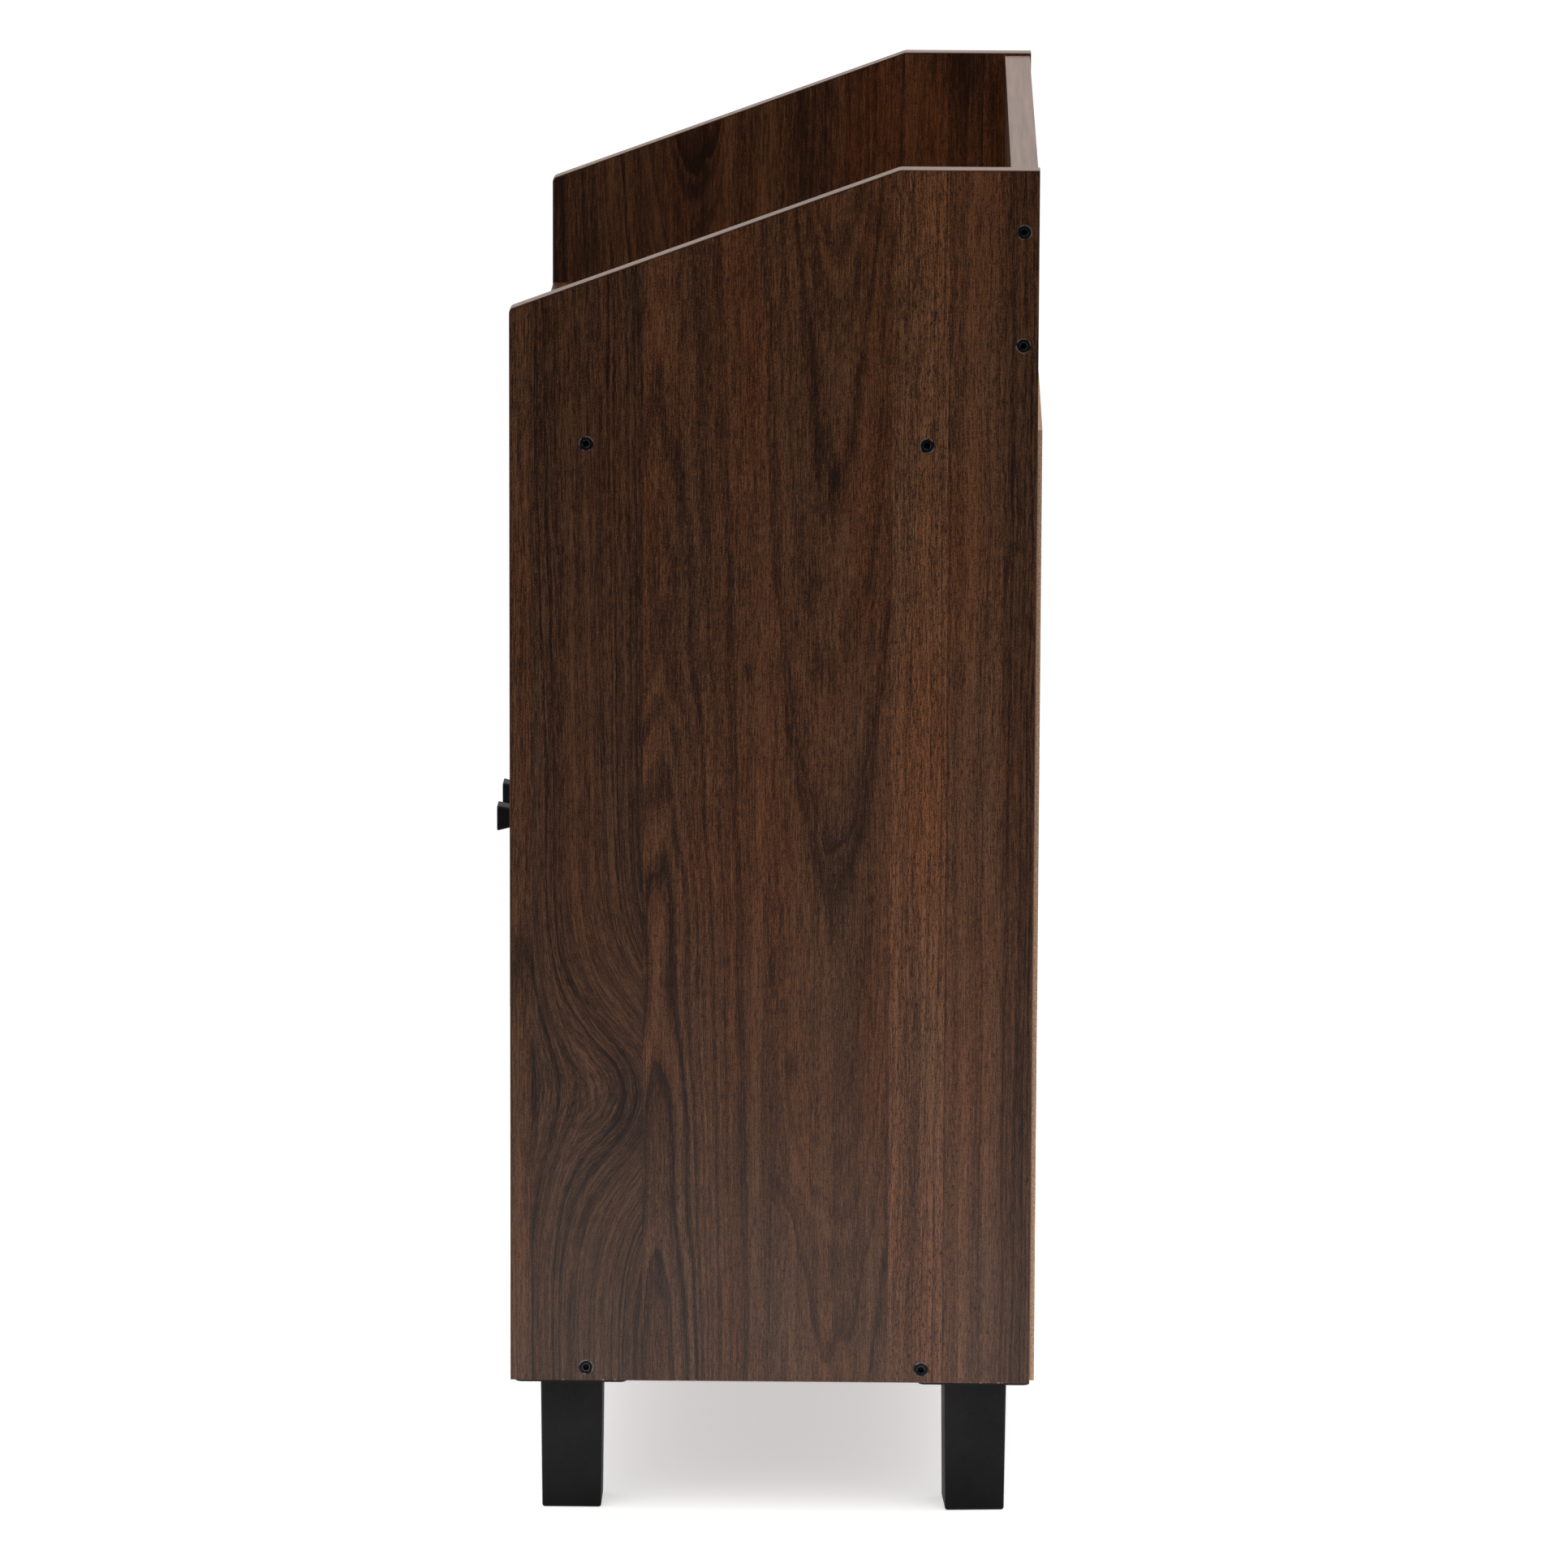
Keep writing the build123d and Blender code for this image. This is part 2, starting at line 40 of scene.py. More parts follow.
# ---- node trees -----------------------------------------------------------------------
class Num:
    """A number that the nodes work out, which takes part in ordinary sums."""

    def __init__(self, tree, socket):
        self.tree = tree
        self.socket = socket

    def __add__(self, other):
        return self.tree.math("ADD", self, other)

    def __sub__(self, other):
        return self.tree.math("SUBTRACT", self, other)

    def __rsub__(self, other):
        return self.tree.math("SUBTRACT", other, self)

    def __mul__(self, other):
        return self.tree.math("MULTIPLY", self, other)

    def __truediv__(self, other):
        return self.tree.math("DIVIDE", self, other)

    def __pow__(self, other):
        return self.tree.math("POWER", self, other)

    __radd__ = __add__
    __rmul__ = __mul__


class Tree:
    """One material's or the world's nodes, put together by short calls."""

    def __init__(self, owner):
        owner.use_nodes = True
        self.owner = owner
        self.nodes = owner.node_tree.nodes
        self.links = owner.node_tree.links

    def put(self, socket, value):
        """Links a socket to a node's output, or gives it a plain value."""
        if isinstance(value, Num):
            value = value.socket
        if isinstance(value, bpy.types.NodeSocket):
            self.links.new(value, socket)
        else:
            socket.default_value = value

    def add(self, kind, inputs=(), output=0, **settings):
        """A new node with its settings and inputs; gives one of its outputs."""
        node = self.nodes.new("ShaderNode" + kind)
        for name, value in settings.items():
            setattr(node, name, value)
        for key, value in dict(inputs).items():
            self.put(node.inputs[key], value)
        return node.outputs[output]

    def math(self, operation, *values):
        return Num(self, self.add("Math", enumerate(values), operation=operation))

    def along(self, place, direction):
        """How far a place lies along a direction."""
        socket = self.add("VectorMath", {0: place, 1: direction}, output=1,
                          operation="DOT_PRODUCT")
        return Num(self, socket)

    def length(self, x, y):
        return self.math("SQRT", x * x + y * y)

    def noise(self, x=0.0, y=0.0, z=0.0, detail=2.0, rough=0.5):
        """Smooth noise from 0 to 1 over numbers in its own cell size."""
        place = self.add("CombineXYZ", {0: x, 1: y, 2: z})
        return self.even_noise(place, 1.0, detail, rough)

    def even_noise(self, place, scale, detail=2.0, rough=0.5):
        """Smooth noise from 0 to 1, as wide as it is long, with scale cells a unit."""
        socket = self.add("TexNoise", {"Vector": place, "Scale": scale, "Detail": detail,
                                       "Roughness": rough})
        return Num(self, socket)

    def waver(self, w, detail=1.0, rough=0.5):
        """Smooth noise from 0 to 1 along one number."""
        socket = self.add("TexNoise", {"W": w, "Scale": 1.0, "Detail": detail,
                                       "Roughness": rough}, noise_dimensions="1D")
        return Num(self, socket)

    def chance(self, w):
        """One random number from 0 to 1 for each whole number."""
        return Num(self, self.add("TexWhiteNoise", {"W": w}, noise_dimensions="1D"))

    def step(self, value, low, high, start=0.0, end=1.0):
        """Soft step from start to end as the value goes from low to high."""
        socket = self.add("MapRange", {0: value, 1: low, 2: high, 3: start, 4: end},
                          interpolation_type="SMOOTHSTEP")
        return Num(self, socket)

    def hump(self, squared):
        """Bump of height 1 that falls away with a squared distance."""
        return self.math("POWER", math.e, squared * -1.0)

    def ramp(self, value, stops, interpolation="LINEAR"):
        """Colour looked up along a ramp of (place, colour) stops."""
        socket = self.add("ValToRGB", {0: value})
        band = socket.node.color_ramp
        band.interpolation = interpolation
        while len(band.elements) < len(stops):
            band.elements.new(1.0)
        for element, (place, colour) in zip(band.elements, stops):
            element.position = place
            element.color = (*colour, 1.0)
        return socket

    def channels(self, colour):
        node = self.add("SeparateColor", {0: colour}).node
        return [Num(self, node.outputs[i]) for i in range(3)]

    def mix(self, factor, one, other, blend="MIX"):
        """Colour between two others, or the two put together in another way."""
        one, other = ((*c, 1.0) if isinstance(c, tuple) else c for c in (one, other))
        return self.add("Mix", {0: factor, 6: one, 7: other}, output=2,
                        data_type="RGBA", blend_type=blend)

    def times(self, one, other):
        """Two colours multiplied."""
        return self.mix(1.0, one, other, "MULTIPLY")


class Material(Tree):
    """A new material with its Principled shader, and places in millimetres, at hand."""

    def __init__(self, name):
        super().__init__(bpy.data.materials.new(name))
        self.shader = self.nodes["Principled BSDF"]
        coords = self.nodes.new("ShaderNodeTexCoord")
        self.place = self.add("VectorMath", {0: coords.outputs["Object"], 1: (1 / MM,) * 3},
                              operation="MULTIPLY")
        self.normal = coords.outputs["Normal"]

    def finish(self, colour, rough, height, depth, **uniform):
        """Joins up the shader; a height of 1 stands depth millimetres proud."""
        self.put(self.shader.inputs["Base Color"], colour)
        self.put(self.shader.inputs["Roughness"], rough)
        bump = self.add("Bump", {"Strength": 1.0, "Distance": depth * MM, "Height": height})
        self.put(self.shader.inputs["Normal"], bump)
        for name, value in uniform.items():
            self.shader.inputs[name.replace("_", " ")].default_value = value
        return self.owner


# ---- wood -----------------------------------------------------------------------------
DARK_WOOD = (0.013, 0.0055, 0.0035)
MIDDLE_WOOD = (0.0570, 0.0236, 0.0106)
LIGHT_WOOD = (0.138, 0.0610, 0.0275)
SEAM_SHADE_WIDTH = 0.9               # width of the painted shade line along the seam where a board meets its edge strip
SEAM_SHADE_STRENGTH = 0.6
CHIP_FADE = (0.9, 0.4)        # heights between which the raw lower edge's chips set in
PALE_CHIP = (0.30, 0.19, 0.13)
WOOD_RELIEF = 0.06
HEART_BLEND = 22.0            # how softly the rings of two hearts in one plank meet

# the largest values of a plank's numbers, which its colour ramps hold as shares of these
HEART_REACH = 900.0
DEPTH_REACH = 400.0
LEAN_REACH = 0.4
SPACING_REACH = 20.0


class Plank:
    """One strip of the printed veneer, in millimetres from the board's edge.

    Its rings are those of a log whose heart line lies under `heart`, `depth` below the
    face, and comes nearer or goes deeper by `lean` along the grain. They are `spacing`
    apart; `pores` and `lines` are the strength of its pores and its ring lines.
    """

    def __init__(self, start, heart, depth, lean, tint, spacing=8.0, pores=0.5, lines=0.5):
        self.start = start
        self.log = ((heart + HEART_REACH) / (2 * HEART_REACH),
                    (depth + DEPTH_REACH) / (2 * DEPTH_REACH),
                    (lean + LEAN_REACH) / (2 * LEAN_REACH))
        self.tint = tint
        self.print = (spacing / SPACING_REACH, pores, lines)


class Face:
    """One face of a board while its veneer is worked out: its tree, places and planks."""

    def __init__(self, t, a, l, width, planks, seed, wander):
        self.t = t
        self.a = a
        self.l = l
        self.width = width
        self.planks = planks
        self.seed = seed
        self.wander = wander
        log = t.channels(self.by_plank("log"))
        self.heart = log[0] * (2 * HEART_REACH) - HEART_REACH
        self.depth = log[1] * (2 * DEPTH_REACH) - DEPTH_REACH
        self.lean = log[2] * (2 * LEAN_REACH) - LEAN_REACH
        self.own = self.heart * 0.37 + seed
        printed = t.channels(self.by_plank("print"))
        self.spacing = printed[0] * SPACING_REACH
        self.pores = printed[1]
        self.lines = printed[2]

    def by_plank(self, name):
        """Each plank's own three numbers, as a colour."""
        stops = [(max(p.start / self.width, 0.0), getattr(p, name)) for p in self.planks]
        return self.t.ramp(self.a / self.width, stops, "CONSTANT")

    def on_plank(self, index):
        """1 on one of the planks, 0 on the others."""
        start = self.planks[index].start
        end = self.planks[index + 1].start if index + 1 < len(self.planks) else self.width
        return self.t.math("COMPARE", self.a, (start + end) / 2, (end - start) / 2)

    def bell(self, middle, reach):
        """Bump of height 1 round a spot, falling away over its reach across and along."""
        x = (self.a - middle[0]) / reach[0]
        y = (self.l - middle[1]) / reach[1]
        return self.t.hump(x * x + y * y)

    def bent(self, sweeps):
        """Place across the grain, which swings round knots and wavers a little everywhere."""
        bent = self.a
        for index, middle, reach, push in sweeps:
            bent = bent - self.bell(middle, reach) * push * self.on_plank(index)
        slow = self.t.noise(self.a * 0.02, self.l * 0.004, self.own, detail=1.0)
        quick = self.t.noise(self.a * 0.25, self.l * 0.018, self.own, detail=2.0)
        return bent + (slow - 0.5) * 7.0 + (quick - 0.5) * 1.2

    def ring(self, bent, hearts):
        """Distance from the log's heart line, which is the same all along a growth ring."""
        t, l, own = self.t, self.l, self.own
        drift = t.waver(l * 0.004 + own) - 0.5
        ring = t.length(bent - self.heart, self.depth + self.lean * l + drift * self.wander)
        for index, middle, depth, lean in hearts:
            drift = t.waver(l * 0.005 + own + 9.0) - 0.5
            other = t.length(bent - middle, depth + l * lean + drift * self.wander)
            outside = 1.0 - self.on_plank(index)
            ring = t.math("SMOOTH_MIN", ring, other + outside * FAR, HEART_BLEND)
        return ring + (t.noise(bent * 0.06, l * 0.006, own + 5.0) - 0.5) * 6.0


def veneer(t, a, l, width, planks, seed, wander=22.0, sweeps=(), hearts=(), marks=(),
           stains=(), painted_light_tint=(), crisp=()):
    """Colour, gloss and relief of a walnut face; a runs across the grain and l along it.

    The rings' heart line drifts by wander. Each sweep (plank, middle, reach, push) bends
    the grain, each heart (plank, middle, depth, lean) adds arches to a plank, each mark
    (distance, thickness, strength) darkens one ring, and each stain (middle, reach,
    strength) one spot. The tint by metres along the grain is a painted reflection of
    the pale floor. crisp, the soft step along it of the fine grain's contrast, is
    painted sheen that dulls the fine grain low down.
    """
    face = Face(t, a, l, width, planks, seed, wander)
    own, lines = face.own, face.lines
    bent = face.bent(sweeps)

    # growth rings: a sharp late line at the end of each, and broad and narrow bands
    ring = face.ring(bent, hearts)
    turn = ring / face.spacing + t.waver(ring * 0.045 + own) * 2.5
    part = t.math("FRACT", turn)
    strength = t.chance(t.math("FLOOR", turn) + t.math("FLOOR", own)) ** 1.6
    late = part ** 4.0 * t.step(part, 1.0, 0.94) * strength
    broad = t.waver(ring * 0.03 + own + 3.0, detail=2.0) - 0.5
    narrow = t.waver(ring * 0.40 + own + 6.0, detail=2.0) - 0.5

    # streaks, fibres and pores, which follow the grain, and the print's own specks
    streak = t.noise(bent * 0.14, l * 0.0022, own + 15.0) - 0.5
    fibre = t.noise(bent * 1.25, l * 0.03, own, detail=3.0, rough=0.65) - 0.5
    thread = t.noise(bent * 2.6, l * 0.14, own + 2.0, rough=0.6) - 0.5
    vessel = t.noise(bent * 1.5, l * 0.24, own + 7.0, rough=0.6)
    crowd = t.noise(bent * 0.05, l * 0.006, own + 11.0, detail=1.0)
    pore = t.step(vessel, 0.56, 0.70) * (crowd * 1.2 + 0.2) * face.pores
    speck = t.noise(a * 1.2 + l * 0.3, l * 0.8 - a * 0.4, seed, rough=0.7) - 0.5

    shade = 0.59 + broad * 0.65 + streak * 0.7 + narrow * lines * 0.9
    shade = shade - late * lines * 1.1 - pore
    fine = fibre * 1.8 + thread * 1.9 + speck * 1.8
    # painted sheen: crisp lowers the fine grain's contrast low down on the face
    if crisp:
        fine = fine * t.step(l, *crisp)
    shade = shade + fine
    for distance, thickness, dark in marks:
        off = (ring - distance) / thickness
        shade = shade - t.hump(off * off) * dark
    for middle, reach, dark in stains:
        shade = shade - face.bell(middle, reach) * dark

    colour = t.ramp(shade, [(0.0, DARK_WOOD), (0.5, MIDDLE_WOOD), (1.0, LIGHT_WOOD)])
    hue = t.noise(bent * 0.03, l * 0.004, own + 20.0, detail=1.0)
    cast = t.ramp(hue, [(0.3, (1.08, 0.965, 0.89)), (0.7, (0.945, 1.02, 1.09))])
    colour = t.times(t.times(colour, cast), face.by_plank("tint"))
    # painted reflection: a tint by height along the grain
    if painted_light_tint:
        colour = t.times(colour, t.ramp(l * MM, painted_light_tint))
    rough = 0.34 + thread * 0.14 + pore * 0.2
    relief = fibre * 0.25 + thread * 0.25 - pore
    return colour, rough, relief


def chipboard(t):
    """Cut edge of particle board: pressed chips of several browns."""
    chips = t.add("TexVoronoi", {"Vector": t.place, "Scale": 0.9}, output=1)
    dust = t.even_noise(t.place, 1.8, detail=4.0)
    tone = t.channels(chips)[0] * 0.6 + dust * 0.5
    return t.ramp(tone, [(0.15, (0.16, 0.085, 0.045)), (0.5, (0.40, 0.24, 0.135)),
                         (0.85, (0.62, 0.43, 0.27))])


def edge_distance(t, a, l, edges):
    """How far inside the nearest of some straight edges a place lies."""
    nearest = FAR
    for across, along, start in edges:
        nearest = t.math("MINIMUM", nearest, a * across + l * along + start)
    return nearest


def board_material(name, across, along, face, width, front, back, start=0.0, end=0.0,
                   banded=(), chipped=False):
    """Walnut laminate on particle board.

    across, along and face are the board's directions, start and end its lowest places
    across and along. front and back are what veneer takes for its two faces, the front
    one being further along the face direction. Each banded edge is (x, y, z) for a
    distance of x * a + y * l + z inside it.
    """
    t = Material(name)
    a = t.along(t.place, across) - start
    l = t.along(t.place, along) - end
    front_look, back_look = (veneer(t, a, l, width, **spec) for spec in (front, back))
    onto = t.along(t.normal, face)
    is_front = t.math("GREATER_THAN", onto, 0.0)
    is_cut = t.math("LESS_THAN", t.math("ABSOLUTE", onto), CUT_EDGE)
    colour = t.mix(is_front, back_look[0], front_look[0])
    # painted shade: a dark line along the seam with each edge strip
    seam_shade = t.step(edge_distance(t, a, l, banded), SEAM_SHADE_WIDTH, SEAM_SHADE_WIDTH / 3)
    colour = t.mix(seam_shade * SEAM_SHADE_STRENGTH, colour, DARK_WOOD)
    if chipped:
        patches = t.step(t.waver(a * 0.22, detail=4.0, rough=0.7), 0.61, 0.68)
        chip = patches * t.step(l, *CHIP_FADE)
        colour = t.mix(chip, colour, PALE_CHIP)
    colour = t.mix(is_cut, colour, chipboard(t))
    is_back = 1.0 - is_front
    rough = front_look[1] * is_front + back_look[1] * is_back + is_cut * 0.4
    relief = front_look[2] * is_front + back_look[2] * is_back
    return t.finish(colour, rough, relief, WOOD_RELIEF, Specular_IOR_Level=0.31)


def edge_material(name, across, along):
    """Glued walnut-print strip, its fine lines running the length of the edge."""
    t = Material(name)
    a = t.along(t.place, across)
    l = t.along(t.place, along)
    fine = t.noise(a * 1.3, l * 0.012, 3.0, detail=3.0, rough=0.6)
    broad = t.noise(a * 0.22, l * 0.006, 9.0)
    pore = t.step(t.noise(a * 2.4, l * 0.15, 5.0, detail=1.0), 0.6, 0.75)
    shade = 0.5 + (broad - 0.5) * 0.9 + (fine - 0.5) * 0.8 - pore * 0.3
    colour = t.ramp(shade, [(0.1, (0.042, 0.020, 0.011)), (0.5, (0.108, 0.056, 0.034)),
                            (0.9, (0.200, 0.118, 0.080))])
    return t.finish(colour, 0.34 + fine * 0.15, fine, 0.03, Specular_IOR_Level=0.55,
                    Specular_Tint=(1.0, 0.80, 0.70, 1.0))


def random_planks(seed, width, narrow=45.0, wide=110.0):
    """Strips of veneer matched by eye, no two alike."""
    rng = random.Random(seed)
    planks = []
    start = 0.0
    while start < width:
        plain = rng.random() < 0.5
        middle = start + rng.uniform(20.0, 60.0)
        heart = middle + rng.choice((-1, 1)) * rng.uniform(150.0, 320.0) if plain else middle
        depth = rng.uniform(20.0, 90.0)
        lean = rng.choice((-1, 1)) * rng.uniform(0.03, 0.12)
        tone = rng.uniform(0.78, 1.25)
        tint = (tone, tone * rng.uniform(0.96, 1.03), tone * rng.uniform(0.94, 1.05))
        planks.append(Plank(start, heart, depth, lean, tint, spacing=rng.uniform(5.0, 10.0),
                            pores=rng.uniform(0.3, 0.9), lines=rng.uniform(0.4, 0.8)))
        start += rng.uniform(narrow, wide)
    return planks


def random_faces(plank_seed, face_seed, width):
    """A board's front and back, each with planks of its own."""
    return [dict(planks=random_planks(plank_seed + i, width), seed=face_seed + i)
            for i in (0, 1)]


# ---- the frame's nodes ------------------------------------------------------------------
def paint(material, *names):
    """Gives nodes a material in place of their own."""
    for name in names:
        slots = nodes[name].data.materials
        slots.clear()
        slots.append(material)


def low_mm(name, axis):
    """A node's lowest place along one axis, in millimetres."""
    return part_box(name)[0][axis] / MM


def size_mm(name, axis):
    """A node's size along one axis, in millimetres."""
    lowest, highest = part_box(name)
    return (highest[axis] - lowest[axis]) / MM


# ---- side panels ------------------------------------------------------------------------
# The near panel's outer face and the far panel's inner face follow the real ones.
OUTER_FACE = dict(
    planks=[
        Plank(0.0, -220.0, 60.0, 0.02, (0.92, 0.92, 0.98), spacing=4.0, pores=0.5, lines=0.5),
        Plank(13.6, -160.0, 80.0, 0.03, (0.77, 0.79, 0.88), spacing=4.2, pores=0.35,
              lines=0.75),
        Plank(88.0, 216.0, 76.0, -0.055, (1.12, 1.07, 1.10), spacing=7.5, pores=0.7,
              lines=0.6),
        Plank(253.0, 560.0, 70.0, 0.02, (1.62, 1.58, 1.62), spacing=7.0, pores=1.4,
              lines=0.45),
        Plank(290.0, 600.0, 70.0, 0.02, (1.32, 1.28, 1.36), spacing=7.0, pores=0.8,
              lines=0.45),
        Plank(327.0, 20.0, 90.0, -0.02, (0.84, 0.84, 0.92), spacing=5.0, pores=0.45,
              lines=0.7),
    ],
    seed=3.0,
    wander=9.0,
    sweeps=[(1, (96.0, 199.0), (66.0, 80.0), 54.0)],
    hearts=[(2, 100.0, 12.0, 0.045)],
    marks=[
        (42.5, 1.3, 0.32),
        (49.5, 1.5, 0.24),
        (59.5, 1.8, 0.20),
        (37.0, 1.0, 0.24),
        (34.3, 0.7, 0.22),
        (30.0, 0.8, 0.28),
        (26.6, 0.7, 0.32),
        (21.0, 0.9, 0.26),
    ],
    stains=[
        ((76.0, 185.0), (16.0, 28.0), 0.30),
        ((216.0, 617.0), (3.0, 9.0), 0.50),
        ((157.0, 486.0), (2.5, 5.0), 0.45),
        ((187.0, 216.0), (3.0, 9.0), 0.50),
        ((4.0, 290.0), (8.0, 22.0), 0.35),
        ((28.0, 690.0), (13.0, 130.0), 0.16),
        ((80.0, 590.0), (13.0, 240.0), -0.14),
        ((212.0, 455.0), (22.0, 60.0), -0.14),
        ((286.0, 30.0), (40.0, 190.0), 0.04),
        ((286.0, 660.0), (34.0, 220.0), -0.05),
    ],
    # painted reflection of the pale floor: cooler and greyer low down, warmer high up; crisp
    # dulls the fine grain low down as painted sheen
    painted_light_tint=[(0.05, (0.93, 0.98, 1.08)), (0.45, (1.0, 1.0, 1.0)), (0.8, (1.0, 0.95, 0.84))],
    crisp=(40.0, 640.0, 0.73, 1.28),
)
INNER_FACE = dict(
    planks=[
        Plank(0.0, -90.0, 60.0, 0.02, (0.72, 0.62, 0.52), spacing=6.0, pores=0.4, lines=0.8),
        Plank(32.0, 104.0, 150.0, -0.16, (0.86, 0.72, 0.60), spacing=6.0, pores=0.4,
              lines=0.9),
        Plank(124.0, 420.0, 70.0, 0.03, (1.12, 0.93, 0.74), spacing=9.0, pores=0.6,
              lines=0.5),
        Plank(213.0, -60.0, 60.0, -0.03, (1.32, 1.00, 0.70), spacing=5.0, pores=0.6,
              lines=0.6),
    ],
    seed=21.0,
    stains=[
        ((106.0, 735.0), (12.0, 38.0), 0.42),
        ((198.0, 760.0), (24.0, 200.0), 0.30),
        ((304.0, 812.0), (26.0, 34.0), 0.42),
        ((336.0, 760.0), (10.0, 160.0), 0.30),
        ((2.0, 700.0), (7.0, 90.0), 0.40),
    ],
)
SLOPE = math.atan2(94.0, 258.0)
SLOPE_START = 727.6           # height of the sloped edge at the panel's front


def paint_sides():
    width = size_mm("side_panel_right", 1)
    outside = dict(planks=random_planks(5, width), seed=40.0)
    bands = [(1.0, 0.0, 0.0), (0.0, -1.0, size_mm("side_panel_right", 2)),
             (math.sin(SLOPE), -math.cos(SLOPE), SLOPE_START * math.cos(SLOPE))]
    faces = {"right": (OUTER_FACE, INNER_FACE), "left": (INNER_FACE, outside)}
    for side, (front, back) in faces.items():
        name = "side_panel_" + side
        material = board_material("walnut_side_" + side, Y_AXIS, Z_AXIS, X_AXIS, width,
                                  front, back, low_mm(name, 1), low_mm(name, 2), bands,
                                  chipped=True)
        paint(material, name)


# ---- other boards -----------------------------------------------------------------------
LEVEL_BOARDS = ("top_board", "bottom_board", "shelf_lower", "shelf_middle", "shelf_upper")


def paint_level_boards():
    for number, name in enumerate(LEVEL_BOARDS):
        width = size_mm(name, 1)
        faces = random_faces(60 + 2 * number, 50.0 + 7 * number, width)
        paint(board_material("walnut_" + name, Y_AXIS, X_AXIS, Z_AXIS, width, *faces,
                             low_mm(name, 1), low_mm(name, 0), [(1.0, 0.0, 0.0)]), name)


def paint_doors():
    for number, side in enumerate(SIDES):
        name = "door_" + side
        width = size_mm(name, 0)
        faces = random_faces(80 + 2 * number, 90.0 + 7 * number, width)
        bands = [(1.0, 0.0, 0.0), (-1.0, 0.0, width), (0.0, 1.0, 0.0),
                 (0.0, -1.0, size_mm(name, 2))]
        paint(board_material("walnut_" + name, X_AXIS, Z_AXIS, Y_AXIS, width, *faces,
                             low_mm(name, 0), low_mm(name, 2), bands), name)


def paint_gallery_back():
    name = "gallery_back"
    width = size_mm(name, 2)
    faces = random_faces(120, 130.0, width)
    paint(board_material("walnut_" + name, Z_AXIS, X_AXIS, Y_AXIS, width, *faces,
                         low_mm(name, 2), low_mm(name, 0), [(-1.0, 0.0, width)]), name)


def paint_edge_strips():
    paint(edge_material("walnut_edge_side", X_AXIS, (0.0, 1.0, 1.0)),
          *("edge_band_side_" + side for side in SIDES))
    paint(edge_material("walnut_edge_board", Z_AXIS, X_AXIS),
          *("edge_band_" + name for name in LEVEL_BOARDS))
    paint(edge_material("walnut_edge_door", Y_AXIS, (1.0, 0.0, 1.0)),
          *("edge_band_door_" + side for side in SIDES))
    paint(edge_material("walnut_edge_gallery", Y_AXIS, X_AXIS), "edge_band_gallery_back")


def hardboard_material():
    """Bare hardboard: a fine brown face and a paler, furry cut edge."""
    t = Material("hardboard")
    fluff = t.even_noise(t.place, 0.9, detail=6.0, rough=0.7)
    cloud = t.even_noise(t.place, 0.012, detail=3.0)
    face = t.ramp(fluff * 0.7 + cloud * 0.5, [(0.35, (0.15, 0.078, 0.040)),
                                              (0.85, (0.27, 0.155, 0.088))])
    edge = t.ramp(fluff, [(0.3, (0.20, 0.11, 0.062)), (0.5, (0.42, 0.26, 0.165)),
                          (0.7, (0.62, 0.44, 0.31))])
    is_cut = t.math("LESS_THAN", t.math("ABSOLUTE", t.along(t.normal, Y_AXIS)), CUT_EDGE)
    colour = t.mix(is_cut, face, edge)
    return t.finish(colour, 0.62 + is_cut * 0.25, fluff, 0.15, Specular_IOR_Level=0.3)


# ---- legs, knobs and hardware -----------------------------------------------------------
LEGS = tuple(f"leg_{row}_{side}" for row in ("front", "rear") for side in SIDES)
PLATES = tuple(f"leg_plate_{row}_{side}" for row in ("front", "rear") for side in SIDES)
# painted light and shade on the legs: dark at the foot, lighter towards the top
LEG_PAINTED_LIGHT = [(0.0, (0.45, 0.45, 0.45)), (0.5, (0.95, 0.93, 0.95)), (1.0, (1.35, 1.22, 1.30))]
ZINC_PAIRS = ("knob_screw", "pivot_pins", "catch_pole_plates", "strike_plate", "strike_screw")
ZINC = ["back_panel_nails", "catch_screws", "leg_plate_screws", "leg_studs"]
ZINC += [f"{part}_{side}" for side in SIDES for part in ZINC_PAIRS]
ZINC += [f"shelf_pins_{level}" for level in ("lower", "middle", "upper")]
SCREW_HEAD = 5.0              # radius
SCREWS_APART = 12.0           # places nearer than this belong to one screw


def satin_material(name, colour, rough, specular=0.4, metal=0.0, painted_light_tint=(), height_mm=1.0):
    """Satin paint, metal or moulded plastic with a fine texture and faint clouding.

    The tint by height above the floor, up to height_mm, is painted light and shade.
    """
    t = Material(name)
    cloud = t.even_noise(t.place, 0.03, detail=3.0)
    fine = t.even_noise(t.place, 0.8, detail=3.0)
    lighter = tuple(min(c * 1.5 + 0.002, 1.0) for c in colour)
    darker = tuple(c * 0.75 for c in colour)
    tone = t.ramp(cloud * 0.6 + fine * 0.4, [(0.3, darker), (0.7, lighter)])
    # painted light and shade: a tint by height above the floor
    if painted_light_tint:
        tone = t.times(tone, t.ramp(t.along(t.place, Z_AXIS) / height_mm, painted_light_tint))
    gloss = (fine - 0.5) * 0.16 + (cloud - 0.5) * 0.12 + rough
    return t.finish(tone, gloss, fine, 0.03, Specular_IOR_Level=specular, Metallic=metal)


def spots(name):
    """Middle in Y and Z of each of the fasteners that a node groups together."""
    groups = []
    for vertex in nodes[name].data.vertices:
        place = vertex.co.yz / MM
        home = next((g for g in groups if (g[0] - place).length < SCREWS_APART), None)
        if home:
            home.append(place)
        else:
            groups.append([place])
    return [[(min(p[i] for p in group) + max(p[i] for p in group)) / 2 for i in (0, 1)]
            for group in groups]


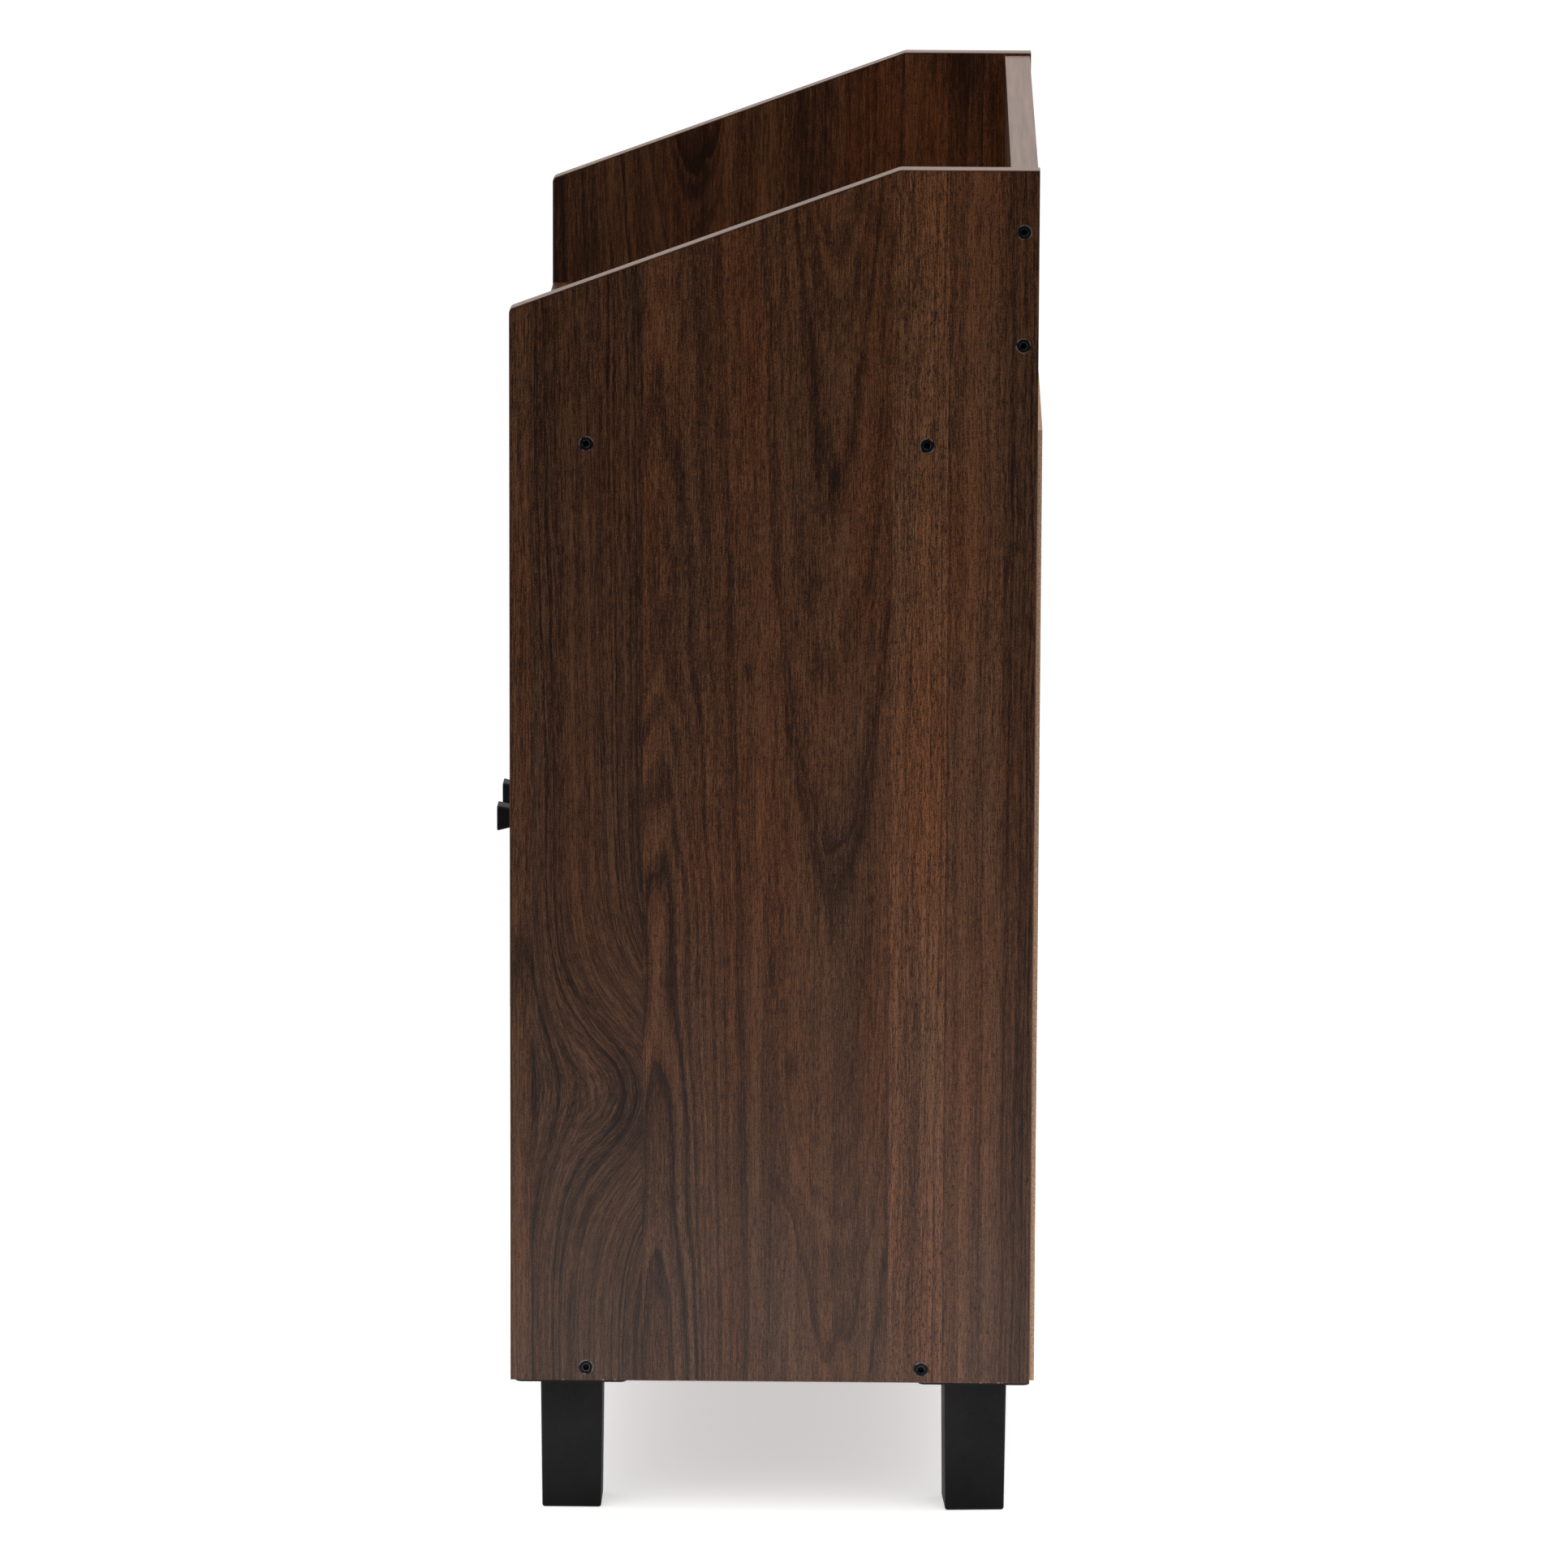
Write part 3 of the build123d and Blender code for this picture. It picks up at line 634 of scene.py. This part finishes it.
def screw_material(name, middles, radius):
    """Black oxide screw heads, with painted highlights: bright arcs round the rim and socket
    stand in for glints off their chamfers.
    """
    t = Material(name)
    y = t.along(t.place, Y_AXIS)
    z = t.along(t.place, Z_AXIS)
    out = 2 * radius
    for middle in middles:
        out = t.math("MINIMUM", out, t.length(y - middle[0], z - middle[1]))
    patch = t.even_noise(t.place, 0.22)
    fine = t.even_noise(t.place, 1.6, detail=3.0)
    share = out / radius
    # painted highlights: bright arcs on the rim and the socket's edge in place of chamfer
    # glints; the flat face gets a faint lift
    rim = t.step(share, 0.82, 0.90) * t.step(patch, 0.40, 0.56, 0.12) * 0.50
    lip = t.step(share, 0.56, 0.50) * t.step(share, 0.42, 0.47) * t.step(patch, 0.62, 0.52)
    flat = t.step(share, 0.46, 0.54) * 0.02
    painted_glint = t.math("MAXIMUM", t.math("MAXIMUM", rim, lip * 0.42), flat) * (fine * 0.5 + 0.75)
    tone = t.ramp(painted_glint, [(0.0, (0.005, 0.005, 0.006)), (0.40, (0.050, 0.050, 0.052)),
                         (1.0, (0.75, 0.74, 0.72))])
    return t.finish(tone, 0.34 + fine * 0.15, fine, 0.02, Specular_IOR_Level=0.09,
                    Metallic=0.35)


def paint_hardware():
    leg_black = satin_material("leg_black", (0.010, 0.010, 0.010), 0.55, specular=0.08,
                               painted_light_tint=LEG_PAINTED_LIGHT, height_mm=size_mm(LEGS[0], 2))
    paint(leg_black, *LEGS)
    paint(satin_material("plate_black", (0.008, 0.008, 0.008), 0.5, specular=0.15), *PLATES)
    paint(satin_material("knob_black", (0.008, 0.008, 0.0085), 0.42, specular=0.12),
          *("knob_" + side for side in SIDES))
    paint(satin_material("catch_brown", (0.060, 0.032, 0.020), 0.45),
          *("catch_case_" + side for side in SIDES))
    paint(satin_material("bush_black", (0.02, 0.02, 0.02), 0.5),
          *("pivot_bushes_" + side for side in SIDES))
    paint(satin_material("ferrite", (0.05, 0.05, 0.052), 0.6),
          *("catch_magnet_" + side for side in SIDES))
    paint(satin_material("zinc_steel", (0.55, 0.55, 0.54), 0.32, metal=1.0), *ZINC)
    paint(satin_material("beech", (0.55, 0.38, 0.22), 0.6), "side_dowels", "gallery_dowels")
    for side in SIDES:
        name = "side_screws_" + side
        paint(screw_material("screw_black_" + side, spots(name), SCREW_HEAD), name)


# ---- floor, light and camera ------------------------------------------------------------
FLOOR_RADIUS = 1.3
FLOOR_WHITE = (0.70, 0.70, 0.70, 1.0)
FLOOR_GLOW = 0.52
CEILING_LIGHT = (0.06, 2.3)   # near the horizon, and overhead
BACKDROP_LIGHT = 0.8
SEEN_WHITE = 1.1
CAMERA_PLACE = (6.5363, 0.1192, 1.6755)
CAMERA_TURNS = (0.939, 10.737, 0.2286)   # degrees of yaw, downward pitch and roll
CAMERA_LENS = 216.67
WHITE = (1.0, 1.0, 1.0, 1.0)


def make_floor():
    bpy.ops.mesh.primitive_circle_add(vertices=96, radius=FLOOR_RADIUS, fill_type="NGON")
    floor = bpy.context.object
    floor.name = "floor"
    t = Tree(bpy.data.materials.new("floor_white"))
    shader = t.nodes["Principled BSDF"]
    shader.inputs["Base Color"].default_value = FLOOR_WHITE
    shader.inputs["Roughness"].default_value = 0.9
    shader.inputs["Specular IOR Level"].default_value = 0.0
    shader.inputs["Emission Color"].default_value = WHITE
    shader.inputs["Emission Strength"].default_value = FLOOR_GLOW
    floor.data.materials.append(t.owner)


def make_world():
    """White to the camera; to the object, a bright ceiling and a pale backdrop."""
    world = bpy.data.worlds.new("studio")
    bpy.context.scene.world = world
    t = Tree(world)
    direction = t.nodes.new("ShaderNodeTexCoord").outputs["Generated"]
    up = t.along(direction, Z_AXIS)
    away = t.along(direction, (-1.0, 0.0, 0.0))
    ceiling = t.step(up, 0.15, 0.95, *CEILING_LIGHT)
    backdrop = t.step(away, 0.3, 0.95) * t.step(up, 0.6, 0.1) * BACKDROP_LIGHT
    lit = (ceiling + backdrop) * t.step(up, -0.02, 0.02)
    seen = Num(t, t.add("LightPath"))
    background = t.nodes["Background"]
    background.inputs["Color"].default_value = WHITE
    t.put(background.inputs["Strength"], lit * (1.0 - seen) + seen * SEEN_WHITE)


def make_camera():
    """Long lens that looks at the cabinet's right side from a little above."""
    yaw, pitch, roll = (math.radians(turn) for turn in CAMERA_TURNS)
    ahead = Vector((-math.cos(pitch) * math.cos(yaw), -math.cos(pitch) * math.sin(yaw),
                    -math.sin(pitch)))
    level = Vector((-math.sin(yaw), math.cos(yaw), 0.0))
    upright = level.cross(ahead)
    right = level * math.cos(roll) + upright * math.sin(roll)
    up = upright * math.cos(roll) - level * math.sin(roll)
    data = bpy.data.cameras.new("camera")
    data.lens = CAMERA_LENS
    data.sensor_width = 36.0
    data.clip_end = 100.0
    camera = bpy.data.objects.new("camera", data)
    camera.matrix_world = (Matrix.Translation(CAMERA_PLACE)
                           @ Matrix((right, up, -ahead)).transposed().to_4x4())
    bpy.context.collection.objects.link(camera)
    bpy.context.scene.camera = camera


paint_sides()
paint_level_boards()
paint_doors()
paint_gallery_back()
paint_edge_strips()
paint(hardboard_material(), "back_panel")
paint_hardware()
make_floor()
make_world()
make_camera()
bpy.context.scene.view_settings.view_transform = "Standard"
